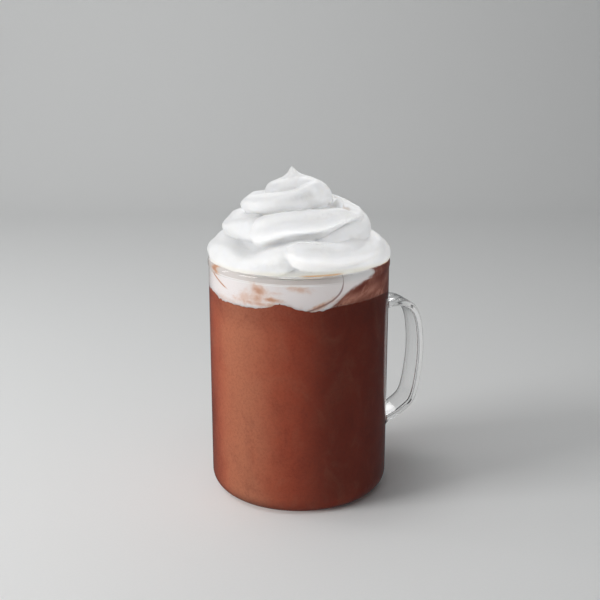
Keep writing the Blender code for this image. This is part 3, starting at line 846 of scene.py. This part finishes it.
def mug_body():
    low_corner = (MUG_RADIUS - OUTER_CORNER, OUTER_CORNER)
    profile = [(0.0, 0.0)] + line((0.0, 0.0), (low_corner[0], 0.0), OUTER_BASE_RINGS)
    profile += arc(low_corner, OUTER_CORNER, OUTER_CORNER_START, 0, OUTER_CORNER_RINGS)
    profile += line((MUG_RADIUS, OUTER_CORNER), (MUG_RADIUS, LIP_FOOT), WALL_RINGS)
    for share in [i / LIP_RINGS for i in range(LIP_RINGS + 1)]:
        profile.append((MUG_RADIUS + swelled(share), LIP_FOOT + LIP_EDGE * share))
    wide = MUG_RADIUS + LIP_SWELL
    profile += line((wide, LIP_FOOT + LIP_EDGE), (wide, CROWN[1]), LIP_SIDE_RINGS)
    profile += arc(CROWN, LIP_ROUND, 0, 180, LIP_ROUND_RINGS)[:-1]
    for share in [1 - i / LIP_RINGS_INSIDE for i in range(LIP_RINGS_INSIDE + 1)]:
        profile.append((INSIDE - swelled(share), LIP_FOOT + (CROWN[1] - LIP_FOOT) * share))
    centre = (INSIDE - INNER_CORNER, BASE_THICKNESS + INNER_CORNER)
    profile += line((INSIDE, LIP_FOOT), (INSIDE, centre[1]), WALL_RINGS)
    profile += arc(centre, INNER_CORNER, 0, -90, CORNER_RINGS)
    profile += line((centre[0], BASE_THICKNESS), (0.0, BASE_THICKNESS), BASE_RINGS)
    profile.append((0.0, BASE_THICKNESS))
    return mesh_object("mug_body", *turned([profile] * SIDES))


def strap_section(width, thickness, edge):
    """Rectangle with rounded corners, as (across the strap, through it)."""
    found = []
    for sx, sy, start in ((1, 1, 0), (-1, 1, 90), (-1, -1, 180), (1, -1, 270)):
        centre = (sx * (width / 2 - edge), sy * (thickness / 2 - edge))
        found += arc(centre, edge, start, start + 90, STRAP_CORNER_STEPS)
    return found


def strap():
    path = spline(STRAP_PATH, STRAP_STATIONS)
    along = np.gradient(path, axis=0)
    along /= np.linalg.norm(along, axis=1)[:, None]
    rings = []
    for (x, z), (tx, tz) in zip(path, along):
        near = max(0.0, 1.0 - (x - MUG_RADIUS) / STRAP_ROOT)
        grown = 1.0 + (STRAP_FLARE - 1.0) * min(1.0, near) ** 2
        section = strap_section(STRAP_WIDTH * grown, STRAP_THICKNESS * grown, STRAP_EDGE)
        rings.append([(x + n * tz, w, z - n * tx) for w, n in section])
    return mesh_object("strap", *tube(rings))


def glass_mug(made_of):
    mug = mug_body()
    modified(mug, "strap", "BOOLEAN", operation="UNION", solver="MANIFOLD", object=strap())
    made = baked(mug, "mug_glass", made_of)
    made.data.set_sharp_from_angle(angle=SHARP_ANGLE)
    return made


# ---------------------------------------------------------------- drink and melted cream

def meeting_height(azimuth):
    """Height at which drink and cream meet on the glass."""
    total = MEETING_LEVEL
    for centre, height, width in MEETING_WAVES + DRIPS:
        apart = (azimuth - centre + 180.0) % 360.0 - 180.0
        total += height * math.exp(-(apart / width) ** 2)
    for waves, height in RIPPLES:
        total += height * math.sin(math.radians(waves * azimuth) + waves)
    return total


def meeting_columns(reach, lift):
    """Profiles of the surface in which they meet, each from the glass to the axis."""
    columns = []
    for side in range(LIQUID_SIDES):
        edge = meeting_height(360.0 * side / LIQUID_SIDES)
        column = []
        for share in np.linspace(1.0, MIDDLE_SHARE, LIQUID_RINGS):
            level = MEETING_LEVEL + (edge - MEETING_LEVEL) * share ** 2 - MEETING_DIP * (1.0 - share ** 2)
            column.append((reach * share, level + lift))
        column.append((0.0, MEETING_LEVEL - MEETING_DIP + lift))
        columns.append(column)
    return columns


def liquid(name, columns, made_of):
    made = mesh_object(name, *turned(columns), [made_of])
    made.data.set_sharp_from_angle(angle=SHARP_ANGLE)
    return made


def drink(made_of):
    reach = INSIDE + INTO_WALL
    bottom = BASE_THICKNESS - INTO_WALL
    centre = (reach - INNER_CORNER, bottom + INNER_CORNER)
    lower = [(0.0, bottom)] + line((0.0, bottom), (centre[0], bottom), BASE_RINGS)
    lower += arc(centre, INNER_CORNER, -90, 0, CORNER_RINGS)
    columns = []
    for top in meeting_columns(reach, 0.0):
        columns.append(lower + line((reach, centre[1]), top[0], DRINK_RINGS) + top)
    return liquid("mocha_fill", columns, made_of)


def melted_cream(made_of):
    heights = np.linspace(LIP_FOOT, CREAM_LAYER_TOP - LAYER_EDGE, LAYER_LIP_RINGS)
    rise = [(lip_inside(z) + INTO_WALL, z) for z in heights]
    rim = rise[-1][0]
    edge = (rim - LAYER_EDGE, CREAM_LAYER_TOP)
    top = [(rim - LAYER_BEVEL, CREAM_LAYER_TOP - LAYER_BEVEL), edge]
    top += line(edge, (0.0, CREAM_LAYER_TOP), LAYER_RINGS) + [(0.0, CREAM_LAYER_TOP)]
    columns = []
    for under in meeting_columns(INSIDE + INTO_WALL, LAYER_GAP):
        columns.append(under[::-1] + line(under[0], rise[0], LAYER_RINGS) + rise + top)
    return liquid("melted_layer", columns, made_of)


# ---------------------------------------------------------------- whipped cream

def rope(knots):
    """Ribbed rope of cream along its knots, blunt at both ends."""
    rough = spline(knots, ROPE_KNOTS)
    angle = np.radians(rough[:, 0] + FRONT)
    path = np.stack([rough[:, 1] * np.cos(angle), rough[:, 1] * np.sin(angle), rough[:, 2]], 1)
    run = np.concatenate([[0.0], np.cumsum(np.linalg.norm(np.diff(path, axis=0), axis=1))])
    even = np.linspace(0.0, run[-1], int(run[-1] * ROPE_STATIONS_PER_MM))
    row = np.stack([np.interp(even, run, rough[:, k]) for k in range(7)], 1)
    turn = np.linspace(0.0, math.tau, ROPE_SIDES, endpoint=False)
    rings = []
    for s, (a, radius, height, half_r, half_z, twist, rib) in zip(even, row):
        end = min(s, run[-1] - s) + END_FLAT
        blunt = min(1.0, end / half_r)
        close = math.sqrt(1.0 - (1.0 - blunt) ** 2)
        swell = 1.0 + rib * (np.cos(RIBS * (turn - math.radians(twist))) - RIB_SHARE_INSIDE)
        out = radius + half_r * close * swell * np.cos(turn)
        up = height + half_z * close * swell * np.sin(turn)
        where = math.radians(a + FRONT)
        rings.append(np.stack([out * math.cos(where), out * math.sin(where), up + MUG_HEIGHT], 1))
    return tube(rings)


def stacked(levels, sides):
    """Tube through level circles, each given as (centre x, centre y, radius, height)."""
    turn = np.linspace(0.0, math.tau, sides, endpoint=False)
    rings = []
    for middle_x, middle_y, radius, height in levels:
        x = middle_x + radius * np.cos(turn)
        y = middle_y + radius * np.sin(turn)
        rings.append(np.stack([x, y, np.full_like(x, height)], 1))
    return tube(rings)


def tip():
    left = math.radians(FRONT - 90.0)
    levels = [(lean * math.cos(left), lean * math.sin(left), radius, height + MUG_HEIGHT)
              for lean, height, radius in spline(TIP, TIP_STATIONS)]
    return stacked(levels, TIP_SIDES)


def ball(azimuth, radius, level, half_width, half_height):
    """Rounded lump, cut flat just below its top and just over its foot."""
    where = math.radians(FRONT + azimuth)
    middle = (radius * math.cos(where), radius * math.sin(where))
    levels = [(*middle, half_width * math.cos(rise), MUG_HEIGHT + level + half_height * math.sin(rise))
              for rise in np.radians(np.linspace(-BALL_END, BALL_END, BALL_RINGS))]
    return stacked(levels, BALL_SIDES)


def core():
    low = CREAM_SINK - UNDERSIDE_SPARE
    profile = [(0.0, low), (CORE_RADIUS, low)]
    profile += [(radius, MUG_HEIGHT + over) for radius, over in CORE_STEPS]
    return turned([profile] * CORE_SIDES)


def foot():
    edge = lip_inside(MUG_HEIGHT) + INTO_WALL
    profile = [(0.0, CREAM_SINK - UNDERSIDE_SPARE)]
    profile += [(edge - inward, CREAM_SINK + rise) for inward, rise in FOOT_STEPS]
    profile += [(FOOT_SLOPE[0], CREAM_SINK + FOOT_SLOPE[1]), (0.0, CREAM_SINK + FOOT_MIDDLE)]
    return turned([profile] * FOOT_SIDES)


def room_above_mug():
    """The space open to the cream: over the melted layer, inside the lip and over it."""
    over = arc(CROWN, LIP_ROUND + LIP_CLEARANCE, 180, ROOM_LIP_END, ROOM_LIP_RINGS)
    profile = [(0.0, CREAM_SINK), (over[0][0], CREAM_SINK)] + over[1:]
    profile += [(ROOM[0], over[-1][1]), ROOM, (0.0, ROOM[1])]
    return mesh_object("room", *turned([profile] * ROOM_SIDES))


def dented(piece):
    """Presses the hollows and the burst bubbles into the cream, and the pressed places down."""
    points = positions(piece)
    away = np.hypot(points[:, 0], points[:, 1]) / MM
    around = np.degrees(np.arctan2(points[:, 1], points[:, 0])) - FRONT
    around = (around + 180.0) % 360.0 - 180.0
    over = points[:, 2] / MM - MUG_HEIGHT
    sunk = np.zeros(len(points))
    for angle, radius, height, breadth, depth in DENTS:
        apart = np.hypot(np.radians(around - angle) * radius, over - height)
        sunk += depth * np.exp(-(apart / breadth) ** 2) * (np.abs(away - radius) < DENT_REACH)
    chance = np.random.default_rng(PIT_SEED)
    for _ in range(PITS):
        angle = chance.uniform(*PIT_ANGLES)
        height = chance.uniform(*PIT_HEIGHTS)
        breadth = chance.uniform(*PIT_BREADTH)
        apart = np.hypot(np.radians(around - angle) * away, over - height)
        sunk += PIT_DEPTH * np.exp(-(apart / breadth) ** 2)
    share = 1.0 - sunk * MM / np.maximum(away * MM, MM)
    start, full = PRESSED_OVER
    high = np.clip((over - start) / (full - start), 0.0, 1.0)
    for angle, radius, breadth, depth in PRESSED:
        apart = np.hypot(np.radians(around - angle) * radius, away - radius)
        points[:, 2] -= depth * MM * np.exp(-(apart / breadth) ** 2) * high
    points[:, 0] *= share
    points[:, 1] *= share
    move_vertices(piece, points)


def whipped_cream(made_of):
    surfaces = [rope(knots) for knots in (BASE_COIL, MIDDLE_COIL, UPPER_COIL, CAP_COIL)]
    surfaces += [ball(*place) for place in BLOBS]
    surfaces += [tip(), core(), foot()]
    obj = mesh_object("ropes", *joined(surfaces))
    modified(obj, "fuse", "REMESH", mode="VOXEL", voxel_size=FUSING_CELL * MM)
    modified(obj, "soften", "SMOOTH", factor=SOFTENING, iterations=SOFTENING_ROUNDS)
    for name, size, height in UNEVENNESS:
        lumps = bpy.data.textures.new(name, "CLOUDS")
        lumps.noise_scale = size * MM
        lumps.noise_depth = LUMP_LAYERS
        modified(obj, name, "DISPLACE", texture=lumps, texture_coords="LOCAL",
                 strength=height * MM, mid_level=0.5)
    modified(obj, "fit", "BOOLEAN", operation="INTERSECT", solver="MANIFOLD", object=room_above_mug())
    made = baked(obj, "cream_swirl", made_of)
    dented(made)
    return made


def fitted(piece):
    """Presses what stands out beyond the mug's cylinder back inside the frame's own box."""
    points = positions(piece)
    reach = MM * (MUG_RADIUS + LIP_SWELL)
    starts = ((-reach, reach), (-reach, reach), (0.0, MM * MUG_HEIGHT))
    for axis, (low, high) in enumerate(starts):
        for sign, start, limit in ((-1.0, low, cad_low[axis]), (1.0, high, cad_high[axis])):
            beyond = sign * (points[:, axis] - start)
            room = max(0.0, sign * (limit - start))
            if beyond.max() > room:
                share = room / beyond.max()
                points[:, axis] = np.where(beyond > 0.0, start + sign * share * beyond, points[:, axis])
    move_vertices(piece, points)


# ---------------------------------------------------------------- floor, view and light

def floor():
    rows = [(-FLOOR_HALF, 0.0), (0.0, 0.0), (FLOOR_BACK - FLOOR_BEND, 0.0)]
    rows += arc((FLOOR_BACK - FLOOR_BEND, FLOOR_BEND), FLOOR_BEND, -90, 0, FLOOR_BEND_STEPS)[1:]
    rows.append((FLOOR_BACK, FLOOR_WALL))
    points = []
    faces = []
    for y, z in rows:
        for i in range(FLOOR_STRIPS + 1):
            points.append((-FLOOR_HALF + 2 * FLOOR_HALF * i / FLOOR_STRIPS, y, z))
    for r in range(len(rows) - 1):
        for i in range(FLOOR_STRIPS):
            a = r * (FLOOR_STRIPS + 1) + i
            faces.append((a, a + 1, a + FLOOR_STRIPS + 2, a + FLOOR_STRIPS + 1))
    made = mesh_object("studio_floor", points, faces, [floor_material()])
    made.rotation_euler[2] = math.radians(CAMERA_AZIMUTH)
    made.visible_glossy = False     # keeps the pale floor from washing out the glass
    made.visible_shadow = False     # lets the soft light from below through to the cream
    made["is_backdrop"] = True
    return made


def direction(azimuth, elevation):
    """Unit vector towards an azimuth, 0 for -Y and growing towards +X, and an elevation."""
    a = math.radians(azimuth)
    e = math.radians(elevation)
    return Vector((math.sin(a) * math.cos(e), -math.cos(a) * math.cos(e), math.sin(e)))


def aimed(name, data, place, target):
    """Camera or light at a place, looking at a target."""
    made = link(bpy.data.objects.new(name, data))
    made.location = place
    made.rotation_euler = (target - place).to_track_quat("-Z", "Y").to_euler()
    return made


def camera():
    data = bpy.data.cameras.new("view")
    data.lens = CAMERA_LENS
    data.sensor_width = CAMERA_SENSOR
    data.shift_x = CAMERA_SHIFT
    data.clip_start = 0.01
    target = Vector(CAMERA_TARGET)
    place = target + CAMERA_DISTANCE * direction(CAMERA_AZIMUTH, CAMERA_ELEVATION)
    bpy.context.scene.camera = aimed("view", data, place, target)


def softbox(name, azimuth, elevation, distance, size, power):
    """Area light aimed at the object; its azimuth counts from the camera's, left negative."""
    light = bpy.data.lights.new(name, "AREA")
    light.shape = "RECTANGLE"
    light.size, light.size_y = size
    light.energy = power
    target = Vector(LIGHT_TARGET)
    return aimed(name, light, target + distance * direction(CAMERA_AZIMUTH + azimuth, elevation), target)


def studio(pieces):
    for lamp in LAMPS:
        softbox(*lamp)
    for name, reach, azimuth, elevation, size, power in GLOW:
        reached = bpy.data.collections.new(name)
        for piece in pieces:
            if piece.name in reach:
                reached.objects.link(piece)
        glow = softbox(name, azimuth, elevation, GLOW_DISTANCE, size, power)
        glow.light_linking.receiver_collection = reached
    world = bpy.data.worlds.new("studio")
    bpy.context.scene.world = world
    world.use_nodes = True
    back = world.node_tree.nodes["Background"]
    back.inputs["Color"].default_value = (*WORLD_COLOUR, 1.0)
    back.inputs["Strength"].default_value = WORLD_STRENGTH


def main():
    pieces = (
        (glass_mug(glass_material()), "glass_mug", "clear_glass"),
        (drink(mocha_material()), "mocha", "mocha_drink"),
        (melted_cream(melted_material()), "cream_layer", "melted_cream"),
        (whipped_cream(cream_material()), "whipped_cream", "whipped_cream"),
    )
    for piece, node, finish in pieces:
        fitted(piece)
        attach(piece, "root")
        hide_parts(node)
    camera()
    studio([piece for piece, node, finish in pieces] + [floor()])
    bpy.context.scene.view_settings.view_transform = "Standard"
    bpy.context.view_layer.update()


main()
